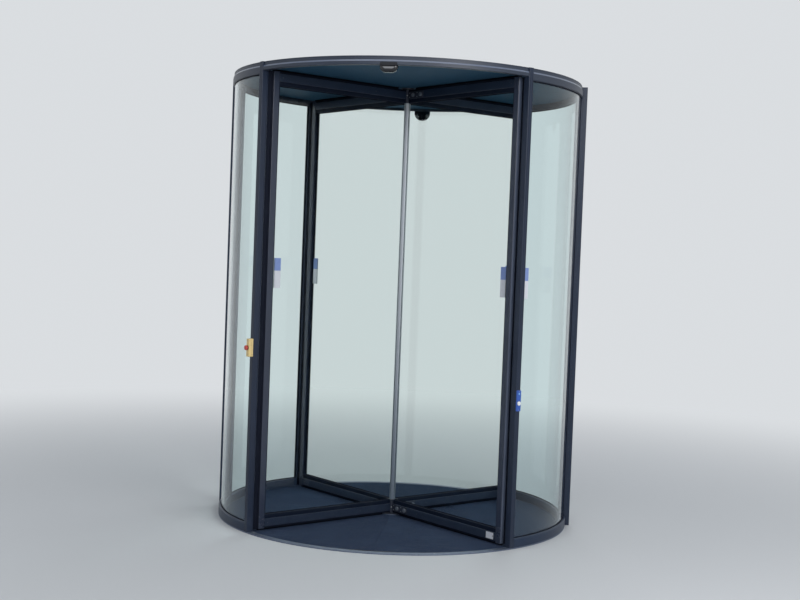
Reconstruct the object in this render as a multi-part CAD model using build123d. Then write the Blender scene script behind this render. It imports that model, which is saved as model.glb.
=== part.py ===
from build123d import *
import math
import os

# A manual revolving door: a round glass drum with two throats and a rotor of four framed wings.
# Millimetres. The origin is on the turning axis at floor level, +Z is up and -Y is the street side.

# Levels
mat_thickness = 6.0
canopy_underside = 2562.0
canopy_height = 48.0
soffit_recess = 16.0

# Drum walls
throat_half_angle = 45.0
drum_inner_radius = 1006.0
profile_depth = 40.0
wall_glass_thickness = 12.0
wall_rail_height = 50.0
wall_rail_bevel = 6.0
wall_groove_depth = 14.0
post_width = 32.0
post_groove_depth = 11.0
post_head_depth = 9.0
facade_post_width = 44.0
facade_post_tongue = 24.0
profile_rounding = 3.0

# Canopy
rim_outer_setback = 3.0
rim_inner_setback = 6.0
rim_bevel = 2.0
wall_head_drop = 20.0
wall_head_bevel = 4.0
canopy_groove_depth = 12.0
glass_top_gap = 2.0
soffit_thickness = 4.0
roof_thickness = 4.0
roof_rebate_width = 18.0

# Floor
ring_thickness = 6.0
floor_bearing_radius = 60.0
floor_bearing_height = 9.0
floor_bearing_bevel = 1.5
floor_bearing_floor = 3.0
bottom_spindle_radius = 20.0

# Top bearing
top_boss_radius = 38.0
top_boss_drop = 7.0
top_boss_bevel = 2.0
top_housing_radius = 60.0
top_spindle_radius = 15.0
top_spindle_length = 26.0
top_bore_depth = 32.0

# Rotor
rotor_floor_gap = 10.0
rotor_soffit_gap = 12.0
wing_thickness = 40.0
wing_rail_height = 78.0
wing_bead_height = 24.0
wing_bead_thickness = 30.0
stile_width = 38.0
stile_bead_width = 8.0
wing_glass_thickness = 10.0
wing_groove_depth = 12.0
centre_profile_radius = 20.0
centre_groove_depth = 9.0
centre_flute_depth = 2.5
hub_size = 60.0
hub_chamfer = 8.0
cheek_length = 138.0
cheek_height = 40.0
cheek_thickness = 4.0
knob_radius = 12.5
knob_height = 7.0
catch_level = 33.0
first_catch_station = 80.0
catch_pitch = 68.0

# Seals
seal_wall_gap = 6.0
seal_projection = 28.0
seal_root_thickness = 8.0
seal_tip_thickness = 5.0
seal_seat_depth = 6.0
seal_offset = 12.0
brush_thickness = 6.0
brush_floor_gap = 5.0
brush_soffit_gap = 5.0
brush_seat_depth = 5.0
brush_inner_radius = 75.0

# Fittings
front_sensor_width = 98.0
front_sensor_drop = 38.0
front_sensor_corner = 33.0
back_sensor_width = 106.0
back_sensor_drop = 64.0
back_sensor_corner = 49.0
sensor_depth = 26.0
sensor_bevel = 3.0
sensor_face_setback = 0.5
sensor_lap_height = 14.0
sensor_lap_corner = 8.0
stop_width = 26.0
stop_depth = 28.0
stop_height = 100.0
stop_corner = 4.0
stop_level = 1034.0
stop_stem_radius = 9.0
stop_stem_length = 8.0
stop_button_radius = 14.0
stop_button_thickness = 8.0
stop_button_bevel = 3.0
plate_width = 30.0
plate_height = 114.0
plate_corner = 5.0
plate_thickness = 8.0
plate_level = 813.0
plate_button_radius = 11.0
plate_button_height = 4.0
plate_button_drop = 14.0

# Clearances
glass_clearance = 0.5
seat_clearance = 0.3
running_clearance = 0.08

# Worked out from the sizes above
drum_outer_radius = drum_inner_radius + profile_depth
profile_centre = drum_inner_radius + profile_depth / 2
soffit_level = canopy_underside + soffit_recess
canopy_top = canopy_underside + canopy_height
canopy_outer_radius = drum_outer_radius - rim_outer_setback
canopy_inner_radius = drum_inner_radius + rim_inner_setback
roof_underside = canopy_top - roof_thickness
wall_groove_width = wall_glass_thickness + 2 * glass_clearance
wall_groove_in = profile_centre - wall_groove_width / 2
wall_groove_out = profile_centre + wall_groove_width / 2
wall_rail_top = ring_thickness + wall_rail_height
wall_glass_bottom = wall_rail_top - wall_groove_depth
wall_groove_top = canopy_underside + canopy_groove_depth
wall_glass_top = wall_groove_top - glass_top_gap
rotor_bottom = mat_thickness + rotor_floor_gap
rotor_top = soffit_level - rotor_soffit_gap
wing_opening_bottom = rotor_bottom + wing_rail_height
wing_opening_top = rotor_top - wing_rail_height
seal_tip_radius = drum_inner_radius - seal_wall_gap
stile_outer_radius = seal_tip_radius - seal_projection
stile_inner_radius = stile_outer_radius - stile_width
wing_groove_width = wing_glass_thickness + 2 * glass_clearance
hub_half = hub_size / 2
sensor_inner_radius = profile_centre - sensor_depth / 2

facade_sides = {"right": 0.0, "left": 180.0}
corners = {
    "front_right": throat_half_angle - 90,
    "back_right": 90 - throat_half_angle,
    "back_left": 90 + throat_half_angle,
    "front_left": 270 - throat_half_angle,
}
wings = {"front_right": -45.0, "back_right": 45.0, "back_left": 135.0, "front_left": 225.0}
parts = {}


def block(x0, x1, y0, y1, z0, z1):
    """A box between two corners."""
    return Pos((x0 + x1) / 2, (y0 + y1) / 2, (z0 + z1) / 2) * Box(x1 - x0, y1 - y0, z1 - z0)


def turned(shape, azimuth):
    """The shape turned about the door's axis."""
    return shape.rotate(Axis.Z, azimuth)


def ring_of(points, start=0.0, sweep=360.0):
    """A section of (radius, height) points carried round the axis."""
    face = make_face(Plane.XZ * Polyline(*points, close=True))
    return turned(revolve(face, axis=Axis.Z, revolution_arc=sweep), start)


def upright(sketch, bottom, top):
    """A plan section raised between two levels."""
    return extrude(Pos(0, 0, bottom) * sketch, top - bottom)


# Floor
def floor_mat():
    disc = Cylinder(
        drum_inner_radius - seat_clearance, mat_thickness, align=(Align.CENTER, Align.CENTER, Align.MIN)
    )
    hole = Cylinder(floor_bearing_radius + seat_clearance, mat_thickness * 3)
    return disc - hole


def floor_ring():
    """The threshold ring round the mat, on which posts and rails stand."""
    return ring_of([
        (drum_inner_radius, 0),
        (drum_outer_radius, 0),
        (drum_outer_radius, ring_thickness),
        (drum_inner_radius, ring_thickness),
    ])


def floor_bearing():
    bore = bottom_spindle_radius + running_clearance
    return ring_of([
        (0, 0),
        (floor_bearing_radius, 0),
        (floor_bearing_radius, floor_bearing_height - floor_bearing_bevel),
        (floor_bearing_radius - floor_bearing_bevel, floor_bearing_height),
        (bore, floor_bearing_height),
        (bore, floor_bearing_floor),
        (0, floor_bearing_floor),
    ])


# Drum walls
def post(azimuth, width, outer_radius, groove_sides):
    """A post on the threshold ring with its glazing grooves; its head laps over the canopy rim."""
    depth = outer_radius - drum_inner_radius
    plan = Pos(drum_inner_radius + depth / 2, 0) * RectangleRounded(depth, width, profile_rounding)
    head_inner = drum_outer_radius - post_head_depth
    head = plan & (Pos(head_inner + depth, 0) * Rectangle(2 * depth, 2 * width))
    for side in groove_sides:
        groove = Pos(profile_centre, side * (width - post_groove_depth) / 2)
        plan -= groove * Rectangle(wall_groove_width, post_groove_depth)
    body = upright(plan, ring_thickness, canopy_underside) + upright(head, canopy_underside, canopy_top)
    if outer_radius > drum_outer_radius:
        foot_inner = drum_outer_radius + seat_clearance
        foot = plan & (Pos(foot_inner + depth, 0) * Rectangle(2 * depth, 2 * width))
        body += upright(foot, 0, ring_thickness)
    return turned(body, azimuth)


def between_posts(section, corner_azimuth, facade_azimuth):
    """A section carried from a corner post to a facade post, cut square to both."""
    start = min(corner_azimuth, facade_azimuth)
    arc = ring_of(section, start, abs(corner_azimuth - facade_azimuth))
    heights = [height for _, height in section]
    low, high = min(heights) - 1, max(heights) + 1
    reach = drum_outer_radius + facade_post_tongue
    for azimuth, width in ((corner_azimuth, post_width), (facade_azimuth, facade_post_width)):
        arc -= turned(block(drum_inner_radius - 1, reach, -width / 2, width / 2, low, high), azimuth)
    return arc


def between_grooves(section, corner_azimuth, facade_azimuth, clearance):
    """A section carried from the groove of a corner post into the groove of a facade post."""
    inner = min(radius for radius, _ in section)
    corner_inset = post_width / 2 - post_groove_depth + clearance
    facade_inset = facade_post_width / 2 - post_groove_depth + clearance
    corner_angle = math.degrees(math.asin(corner_inset / inner))
    facade_angle = math.degrees(math.asin(facade_inset / inner))
    sweep = abs(corner_azimuth - facade_azimuth) - corner_angle - facade_angle
    if corner_azimuth < facade_azimuth:
        return ring_of(section, corner_azimuth + corner_angle, sweep)
    return ring_of(section, facade_azimuth + facade_angle, sweep)


def bottom_rail(corner_azimuth, facade_azimuth):
    """The bent rail under the glass, bevelled towards the pane on both sides."""
    shoulder = wall_rail_top - wall_rail_bevel
    return between_posts([
        (drum_inner_radius, ring_thickness),
        (drum_outer_radius, ring_thickness),
        (drum_outer_radius, shoulder),
        (wall_groove_out, wall_rail_top),
        (wall_groove_out, wall_glass_bottom),
        (wall_groove_in, wall_glass_bottom),
        (wall_groove_in, wall_rail_top),
        (drum_inner_radius, shoulder),
    ], corner_azimuth, facade_azimuth)


def wall_pane(corner_azimuth, facade_azimuth):
    """Bent glass that ends inside the grooves of its two posts and stands in its rail."""
    inner = profile_centre - wall_glass_thickness / 2
    outer = profile_centre + wall_glass_thickness / 2
    return between_grooves([
        (inner, wall_glass_bottom),
        (outer, wall_glass_bottom),
        (outer, wall_glass_top),
        (inner, wall_glass_top),
    ], corner_azimuth, facade_azimuth, seat_clearance)


def each_wall():
    """The azimuths of each wall's corner post and facade post, by the corner's name."""
    return {name: (azimuth, facade_sides[name.split("_")[1]]) for name, azimuth in corners.items()}


# Canopy
def canopy_rim():
    """The bent head profile, deeper over the walls, with a glazing groove there and notches for the posts' heads."""
    rebate = canopy_inner_radius + roof_rebate_width
    rim = ring_of([
        (canopy_inner_radius, canopy_underside),
        (canopy_outer_radius - rim_bevel, canopy_underside),
        (canopy_outer_radius, canopy_underside + rim_bevel),
        (canopy_outer_radius, canopy_top - rim_bevel),
        (canopy_outer_radius - rim_bevel, canopy_top),
        (rebate, canopy_top),
        (rebate, roof_underside),
        (canopy_inner_radius, roof_underside),
    ])
    head_bottom = canopy_underside - wall_head_drop
    head_shoulder = head_bottom + wall_head_bevel
    head_section = [
        (canopy_inner_radius, canopy_underside),
        (canopy_inner_radius, head_shoulder),
        (wall_groove_in, head_bottom),
        (wall_groove_out, head_bottom),
        (canopy_outer_radius, head_shoulder),
        (canopy_outer_radius, canopy_underside + rim_bevel),
    ]
    groove_section = [
        (wall_groove_in, head_bottom - 1),
        (wall_groove_out, head_bottom - 1),
        (wall_groove_out, wall_groove_top),
        (wall_groove_in, wall_groove_top),
    ]
    for corner_azimuth, facade_azimuth in each_wall().values():
        rim += between_posts(head_section, corner_azimuth, facade_azimuth)
        rim -= between_grooves(groove_section, corner_azimuth, facade_azimuth, 0)
    notch_inner = drum_outer_radius - post_head_depth - seat_clearance
    widths = [(azimuth, post_width) for azimuth in corners.values()]
    widths += [(azimuth, facade_post_width) for azimuth in facade_sides.values()]
    for azimuth, width in widths:
        half = width / 2 + seat_clearance
        rim -= turned(
            block(notch_inner, drum_outer_radius, -half, half, canopy_underside - 1, canopy_top + 1), azimuth
        )
    return rim


def canopy_soffit():
    outer = canopy_inner_radius - seat_clearance
    inner = top_boss_radius + seat_clearance
    top = soffit_level + soffit_thickness
    return ring_of([(inner, soffit_level), (outer, soffit_level), (outer, top), (inner, top)])


def canopy_roof():
    outer = canopy_inner_radius + roof_rebate_width - seat_clearance
    return ring_of([(0, roof_underside), (outer, roof_underside), (outer, canopy_top), (0, canopy_top)])


def top_bearing():
    """A boss through the soffit with its housing in the canopy, bored from below."""
    bore = top_spindle_radius + running_clearance
    boss_bottom = soffit_level - top_boss_drop
    seat = soffit_level + soffit_thickness
    bore_top = boss_bottom + top_bore_depth
    return ring_of([
        (bore, boss_bottom),
        (top_boss_radius - top_boss_bevel, boss_bottom),
        (top_boss_radius, boss_bottom + top_boss_bevel),
        (top_boss_radius, seat),
        (top_housing_radius, seat),
        (top_housing_radius, roof_underside),
        (0, roof_underside),
        (0, bore_top),
        (bore, bore_top),
    ])


# Rotor
def hub(bottom):
    """Hub block of the bottom end, with a cheek and two round catches on each wing's rail."""
    body = block(-hub_half, hub_half, -hub_half, hub_half, bottom, bottom + wing_rail_height)
    body = chamfer(body.edges().filter_by(Axis.Z), hub_chamfer)
    middle = bottom + catch_level
    near = wing_thickness / 2
    far = near + cheek_thickness
    for turn in (0, 90, 180, 270):
        cheek = block(
            hub_half - hub_chamfer / 2, hub_half + cheek_length, -far, -near,
            middle - cheek_height / 2, middle + cheek_height / 2,
        )
        for station in (first_catch_station, first_catch_station + catch_pitch):
            cheek += Pos(station, -far - knob_height / 2, middle) * Rot(90, 0, 0) * Cylinder(knob_radius, knob_height)
        body += turned(cheek, turn)
    return body


def hub_bottom():
    spindle_foot = floor_bearing_floor + seat_clearance
    spindle = Pos(0, 0, (spindle_foot + rotor_bottom) / 2) * Cylinder(
        bottom_spindle_radius, rotor_bottom - spindle_foot
    )
    return turned(hub(rotor_bottom) + spindle, wings["back_right"])


def hub_top():
    """The same hub turned over, with the thinner top spindle."""
    body = hub(rotor_bottom)
    middle = (rotor_bottom + rotor_top) / 2
    flipped = body.mirror(Plane.XY.offset(middle))
    spindle = Pos(0, 0, rotor_top + top_spindle_length / 2) * Cylinder(top_spindle_radius, top_spindle_length)
    return turned(flipped + spindle, wings["back_right"])


def centre_profile():
    """Round centre profile with four glazing grooves and a flute between each two."""
    plan = Circle(centre_profile_radius)
    groove = Pos(centre_profile_radius - centre_groove_depth / 2, 0) * Rectangle(
        centre_groove_depth, wing_groove_width
    )
    flute = Pos(centre_profile_radius, 0) * Rot(0, 0, 45) * Rectangle(
        centre_flute_depth * math.sqrt(2), centre_flute_depth * math.sqrt(2)
    )
    for turn in (0, 90, 180, 270):
        plan -= Rot(0, 0, turn + 45) * groove
        plan -= Rot(0, 0, turn) * flute
    return upright(plan, wing_opening_bottom, wing_opening_top)


def wing_rail_section():
    """Section of the bottom rail: a main box, a narrower glazing bead, and grooves for glass and brush."""
    box_height = wing_rail_height - wing_bead_height
    section = Pos(0, box_height / 2) * RectangleRounded(wing_thickness, box_height, profile_rounding)
    bead_low = box_height - profile_rounding - 1
    section += Pos(0, (bead_low + wing_rail_height) / 2) * Rectangle(wing_bead_thickness, wing_rail_height - bead_low)
    section -= Pos(0, wing_rail_height - wing_groove_depth / 2) * Rectangle(wing_groove_width, wing_groove_depth)
    section -= Pos(0, brush_seat_depth / 2) * Rectangle(brush_thickness + 2 * seat_clearance, brush_seat_depth)
    return section


def wing_bottom_rail(azimuth):
    section = Plane.YZ.offset(hub_half) * (Pos(0, rotor_bottom) * wing_rail_section())
    return turned(extrude(section, stile_inner_radius - hub_half), azimuth)


def wing_top_rail(azimuth):
    section = Plane.YZ.offset(hub_half) * (Pos(0, rotor_top) * mirror(wing_rail_section(), Plane.XZ))
    return turned(extrude(section, stile_inner_radius - hub_half), azimuth)


def wing_stile(azimuth):
    """Outer stile with a bead towards the glass between the rails, and a seal groove near its trailing edge."""
    plan = Pos((stile_inner_radius + stile_outer_radius) / 2, 0) * RectangleRounded(
        stile_width, wing_thickness, profile_rounding
    )
    plan -= Pos(stile_outer_radius - seal_seat_depth / 2, seal_offset) * Rectangle(
        seal_seat_depth, seal_root_thickness + 2 * seat_clearance
    )
    body = upright(plan, rotor_bottom, rotor_top)
    bead_inner = stile_inner_radius - stile_bead_width
    bead = Pos((bead_inner + stile_inner_radius + 1) / 2, 0) * Rectangle(stile_bead_width + 1, wing_bead_thickness)
    body += upright(bead, wing_opening_bottom, wing_opening_top)
    groove = block(
        bead_inner - 1, bead_inner + wing_groove_depth, -wing_groove_width / 2, wing_groove_width / 2,
        wing_opening_bottom - wing_groove_depth, wing_opening_top + wing_groove_depth,
    )
    return turned(body - groove, azimuth)


def wing_pane(azimuth):
    """Flat pane from the centre profile to the stile, notched round the hub blocks."""
    half = wing_glass_thickness / 2
    inner = centre_profile_radius - centre_groove_depth + seat_clearance
    outer = stile_inner_radius - stile_bead_width + wing_groove_depth - seat_clearance
    low = wing_opening_bottom + seat_clearance
    high = wing_opening_top - seat_clearance
    pane = block(inner, outer, -half, half, low, high)
    seated = wing_groove_depth - seat_clearance
    pane += block(
        hub_half + seat_clearance, outer, -half, half, wing_opening_bottom - seated, wing_opening_top + seated
    )
    return turned(pane, azimuth)


def wing_seals(azimuth):
    """The wall seal of one wing and the brushes under and over it."""
    root = stile_outer_radius - seal_seat_depth + seat_clearance
    half_root = seal_root_thickness / 2
    half_tip = seal_tip_thickness / 2
    plan = make_face(Polyline(
        (root, -half_root),
        (stile_outer_radius, -half_root),
        (seal_tip_radius, -half_tip),
        (seal_tip_radius, half_tip),
        (stile_outer_radius, half_root),
        (root, half_root),
        close=True,
    ))
    seal = upright(Pos(0, seal_offset) * plan, rotor_bottom, rotor_top)
    half = brush_thickness / 2
    seated = brush_seat_depth - seat_clearance
    floor_brush = block(
        brush_inner_radius, stile_inner_radius, -half, half, mat_thickness + brush_floor_gap, rotor_bottom + seated
    )
    soffit_brush = block(
        brush_inner_radius, stile_inner_radius, -half, half, rotor_top - seated, soffit_level - brush_soffit_gap
    )
    return [turned(piece, azimuth) for piece in (seal, floor_brush, soffit_brush)]


# Fittings
def sensor_cap(side, width, drop, corner, depth):
    """A cap with round lower corners that hangs under the rim in the middle of a throat."""
    front = Pos(0, canopy_underside - drop / 2) * Rectangle(width, drop)
    front = fillet(front.vertices().group_by(Axis.Y)[0], corner)
    body = extrude(Plane.XZ * front, depth / 2, both=True)
    faces = body.faces().sort_by(Axis.Y)
    edges = [edge for face in (faces[0], faces[-1]) for edge in face.edges()]
    edges = [edge for edge in edges if edge.center().Z < canopy_underside - sensor_bevel / 2]
    return Pos(0, side * (sensor_inner_radius + depth / 2), 0) * chamfer(edges, sensor_bevel)


def front_sensor():
    """The street-side sensor; a thin plate of it laps up over the rim's face."""
    face = drum_outer_radius - sensor_face_setback
    cap = sensor_cap(
        -1, front_sensor_width, front_sensor_drop, front_sensor_corner, face - sensor_inner_radius
    )
    low = canopy_underside - sensor_bevel
    high = canopy_underside + sensor_lap_height
    lap = Pos(0, (low + high) / 2) * Rectangle(front_sensor_width - 2 * sensor_bevel, high - low)
    lap = fillet(lap.vertices().group_by(Axis.Y)[-1], sensor_lap_corner)
    back = canopy_outer_radius + seat_clearance
    return cap + extrude(Plane.XZ.offset(back) * lap, face - back)


def back_sensor():
    return sensor_cap(1, back_sensor_width, back_sensor_drop, back_sensor_corner, sensor_depth)


def housing_on_post(middle, level, width, height, corner, depth):
    """A box with round corners on the outer face of a post that points along +X."""
    plan = Plane.YZ.offset(drum_outer_radius) * (Pos(middle, level) * RectangleRounded(width, height, corner))
    return extrude(plan, depth)


def emergency_stop():
    """A small box with a mushroom button on the outer face of the front left post."""
    middle = (post_width - stop_width) / 2
    box = housing_on_post(middle, stop_level, stop_width, stop_height, stop_corner, stop_depth)
    bevel_level = stop_stem_length + stop_button_thickness - stop_button_bevel
    cap = make_face(Polyline(
        (0, 0),
        (stop_stem_radius, 0),
        (stop_stem_radius, stop_stem_length),
        (stop_button_radius, stop_stem_length),
        (stop_button_radius, bevel_level),
        (stop_button_radius - stop_button_bevel, bevel_level + stop_button_bevel),
        (0, bevel_level + stop_button_bevel),
        close=True,
    ))
    button = Rot(0, 90, 0) * revolve(Plane.XZ * cap, axis=Axis.Z)
    placed = Pos(drum_outer_radius + stop_depth, middle, stop_level) * button
    return turned(box + placed, corners["front_left"])


def access_plate():
    """A long push plate with a round button on the outer face of the front right post."""
    plate = housing_on_post(0, plate_level, plate_width, plate_height, plate_corner, plate_thickness)
    reach = plate_thickness + plate_button_height
    button = Rot(0, 90, 0) * Cylinder(plate_button_radius, reach)
    placed = Pos(drum_outer_radius + reach / 2, 0, plate_level - plate_button_drop) * button
    return turned(plate + placed, corners["front_right"])


# The named pieces
def collect():
    parts["floor_mat"] = floor_mat()
    parts["floor_ring"] = floor_ring()
    parts["floor_bearing"] = floor_bearing()
    for name, (corner_azimuth, facade_azimuth) in each_wall().items():
        wall_side = 1 if corner_azimuth < facade_azimuth else -1
        parts[f"{name}_post"] = post(corner_azimuth, post_width, drum_outer_radius, [wall_side])
        parts[f"{name}_bottom_rail"] = bottom_rail(corner_azimuth, facade_azimuth)
        parts[f"{name}_wall_glass"] = wall_pane(corner_azimuth, facade_azimuth)
    for name, azimuth in facade_sides.items():
        reach = drum_outer_radius + facade_post_tongue
        parts[f"{name}_facade_post"] = post(azimuth, facade_post_width, reach, [-1, 1])
    parts["canopy_rim"] = canopy_rim()
    parts["canopy_soffit"] = canopy_soffit()
    parts["canopy_roof"] = canopy_roof()
    parts["top_bearing"] = top_bearing()
    parts["front_sensor"] = front_sensor()
    parts["back_sensor"] = back_sensor()
    parts["emergency_stop"] = emergency_stop()
    parts["access_plate"] = access_plate()
    parts["hub_bottom"] = hub_bottom()
    parts["hub_top"] = hub_top()
    parts["centre_profile"] = centre_profile()
    seals = []
    for name, azimuth in wings.items():
        parts[f"{name}_wing_stile"] = wing_stile(azimuth)
        parts[f"{name}_wing_bottom_rail"] = wing_bottom_rail(azimuth)
        parts[f"{name}_wing_top_rail"] = wing_top_rail(azimuth)
        parts[f"{name}_wing_glass"] = wing_pane(azimuth)
        seals += wing_seals(azimuth)
    parts["wing_seals"] = Compound(children=seals)


collect()
os.makedirs("parts", exist_ok=True)
for name, shape in parts.items():
    export_step(shape, f"parts/{name}.step")
print(len(parts), "parts written")
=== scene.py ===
import math

import bmesh
import bpy
import numpy as np
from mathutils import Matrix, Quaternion, Vector


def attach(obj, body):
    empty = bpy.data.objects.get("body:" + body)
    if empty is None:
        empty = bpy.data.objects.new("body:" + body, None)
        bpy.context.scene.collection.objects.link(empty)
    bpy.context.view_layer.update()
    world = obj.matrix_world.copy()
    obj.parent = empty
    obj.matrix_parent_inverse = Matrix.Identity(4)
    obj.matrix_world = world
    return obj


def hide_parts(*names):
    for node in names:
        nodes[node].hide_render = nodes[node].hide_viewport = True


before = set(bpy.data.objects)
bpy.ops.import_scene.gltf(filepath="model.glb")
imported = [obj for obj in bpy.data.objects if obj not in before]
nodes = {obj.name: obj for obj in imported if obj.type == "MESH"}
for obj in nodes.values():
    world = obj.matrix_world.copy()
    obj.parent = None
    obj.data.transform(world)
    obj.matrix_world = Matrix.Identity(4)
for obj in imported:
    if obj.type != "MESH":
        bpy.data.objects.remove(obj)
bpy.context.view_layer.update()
print("frame loaded:", len(nodes), "nodes")

mm = 0.001
quarters = (0, 90, 180, 270)
outward, upward, downward = (1, 0, 0), (0, 0, 1), (0, 0, -1)
rng = np.random.default_rng(41)

# sizes that several pieces share, in metres, as the frame has them
drum = dict(inner=1.006, outer=1.046, glassIn=1.020, glassOut=1.032, grooveIn=1.0195, grooveOut=1.0325,
            postHalf=0.016, facadeHalf=0.022, facadeReach=1.070, ringTop=0.006, railTop=0.056, headLow=2.542,
            canopyLow=2.562, canopyTop=2.610)
rotor = dict(low=0.016, high=2.566, openLow=0.094, openHigh=2.488, hubHalf=0.030, stileIn=0.934,
             stileOut=0.972, half=0.020, glassHalf=0.005)
corners = dict(frontRight=-45, backRight=45, backLeft=135, frontLeft=225)
nodeNames = {name: name.replace("R", "_r").replace("L", "_l") for name in corners}
# the facade post that each wall runs to from its corner post, and the way round to it
walls = dict(frontRight=(0, 1), backRight=(0, -1), backLeft=(180, 1), frontLeft=(180, -1))


# outlines and surfaces
def turned(points, degrees):
    # x and y turned about the door's axis
    a = math.radians(degrees)
    x, y, z = np.moveaxis(points, -1, 0)
    return np.stack([x * math.cos(a) - y * math.sin(a), x * math.sin(a) + y * math.cos(a), z], -1)


def rounded(outline, radii, steps):
    # every corner becomes an arc that touches its two sides: the two radii to the touching points,
    # blended by angle
    c = np.asarray(outline, float)
    r = np.broadcast_to(np.asarray(radii, float), len(c))[:, None]
    back = np.roll(c, 1, 0) - c
    ahead = np.roll(c, -1, 0) - c
    back /= np.linalg.norm(back, axis=1, keepdims=True)
    ahead /= np.linalg.norm(ahead, axis=1, keepdims=True)
    half = np.arccos(np.clip((back * ahead).sum(1, keepdims=True), -1, 1)) / 2
    middle = back + ahead
    centre = c + middle / np.linalg.norm(middle, axis=1, keepdims=True) * r / np.sin(half)
    a = c + back * r / np.tan(half) - centre
    b = c + ahead * r / np.tan(half) - centre
    sweep = (np.pi - 2 * half)[:, None, :]
    t = np.linspace(0, 1, steps)[None, :, None]
    arcs = np.sin((1 - t) * sweep) * a[:, None] + np.sin(t * sweep) * b[:, None]
    keep = (r > 0) | (np.arange(steps)[None, :] == 0)
    return (arcs / np.sin(sweep) + centre[:, None])[keep]


def softened(points, steps, unit=mm):
    # an outline given as (x, y, rounding), the rounding in the unit
    points = np.asarray(points, float)
    return rounded(points[:, :2], points[:, 2] * unit, steps)


def drawnIn(outline, ease, sharpest=0.35):
    # the outline moved inwards by ease along the mean of its two side normals
    step = np.roll(outline, -1, 0) - outline
    step /= np.linalg.norm(step, axis=1, keepdims=True)
    normal = np.stack([step[:, 1], -step[:, 0]], 1)
    mean = normal + np.roll(normal, 1, 0)
    mean /= np.maximum((mean ** 2).sum(1, keepdims=True) / 2, sharpest)
    x, y = outline[:, 0], outline[:, 1]
    area = (x * np.roll(y, -1) - y * np.roll(x, -1)).sum()
    return outline - mean * ease * np.sign(area)


def stacked(rings, levels):
    # flat rings, each at its level along the third axis
    z = np.broadcast_to(np.reshape(levels, (-1, 1, 1)), (len(rings), len(rings[0]), 1))
    return np.concatenate([rings, z], -1)


def bar(outline, start, end, ease=0.0):
    # the outline carried straight from start to end, drawn in by ease at both ends
    if not ease:
        return stacked([outline, outline], [start, end])
    inner = drawnIn(outline, ease)
    return stacked([inner, outline, outline, inner], [start, start + ease, end - ease, end])


def alongWing(points):
    # from (across, up, along) to (along, across, up)
    return np.roll(points, 1, -1)


def bent(section, start, end, steps, inset=0.0):
    # every (radius, height) of the section runs round the axis from the side face of one post to that of
    # the next, and inset deeper into both; a post is (azimuth, half width)
    r, z = np.asarray(section, float).T
    a0 = np.radians(start[0]) + np.arcsin((start[1] - inset) / r)
    a1 = np.radians(end[0]) - np.arcsin((end[1] - inset) / r)
    t = np.linspace(0, 1, steps)[:, None]
    a = a0 + (a1 - a0) * t
    return np.stack([r * np.cos(a), r * np.sin(a), z + 0 * a], -1)


def lathe(profile, segments=96, wave=None):
    # (radius, height) turned round the axis; wave is added to the radius by angle and height
    r, z = (values[:, None] for values in np.asarray(profile, float).T)
    a = np.linspace(0, 2 * np.pi, segments, endpoint=False)
    radius = r + (wave(a, z) if wave else 0)
    return np.stack([radius * np.cos(a), radius * np.sin(a), z + 0 * a], -1)


def faced(points, origin, normal, azimuth=0):
    # local x, y, z laid on a face, z along its normal and y upwards, or along y where the face lies level;
    # then turned about the axis
    n = np.array(normal, float)
    u = np.array((0, 1, 0) if normal[2] else (0, 0, 1), float)
    x, y, z = (points[..., i:i + 1] for i in range(3))
    return turned(np.asarray(origin) + x * np.cross(u, n) + y * u + z * n, azimuth)


def ringQuads(rows, columns, closeRows):
    # the quads between rows of closed rings
    index = np.arange(rows * columns).reshape(rows, columns)
    index = np.concatenate([index, index[:, :1]], 1)
    if closeRows:
        index = np.concatenate([index, index[:1]], 0)
    return np.stack([index[:-1, :-1], index[:-1, 1:], index[1:, 1:], index[1:, :-1]], -1).reshape(-1, 4)


class Shell:
    # gathers the surfaces of one piece before they become its mesh
    def __init__(self):
        self.points, self.loops, self.sizes, self.marks, self.total = [], [], [], [], 0

    def faces(self, loops, mark):
        self.loops.append(loops.ravel())
        self.sizes.append(np.full(len(loops), loops.shape[1]))
        self.marks.append(np.full(len(loops), mark))

    def copies(self, grids, mark=0, closeRows=False):
        # equal skins (count, rows, columns, 3) of closed rings; the end rings are capped, or the rows close
        count, rows, columns = grids.shape[:3]
        shift = self.total + (np.arange(count) * rows * columns)[:, None, None]
        self.points.append(grids.reshape(-1, 3))
        self.total += count * rows * columns
        self.faces((ringQuads(rows, columns, closeRows) + shift).reshape(-1, 4), mark)
        if not closeRows:
            ends = np.stack([np.arange(columns)[::-1], np.arange(columns) + (rows - 1) * columns])
            self.faces((ends + shift).reshape(-1, columns), mark)
        return self

    def skin(self, grid, mark=0, closeRows=False):
        return self.copies(grid[None], mark, closeRows)

    def put(self, shape, place, normal, azimuth=0, mark=0):
        # a shape laid on a face, at one azimuth or at several
        for turn in np.atleast_1d(azimuth):
            self.skin(faced(shape, place, normal, turn), mark)


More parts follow.
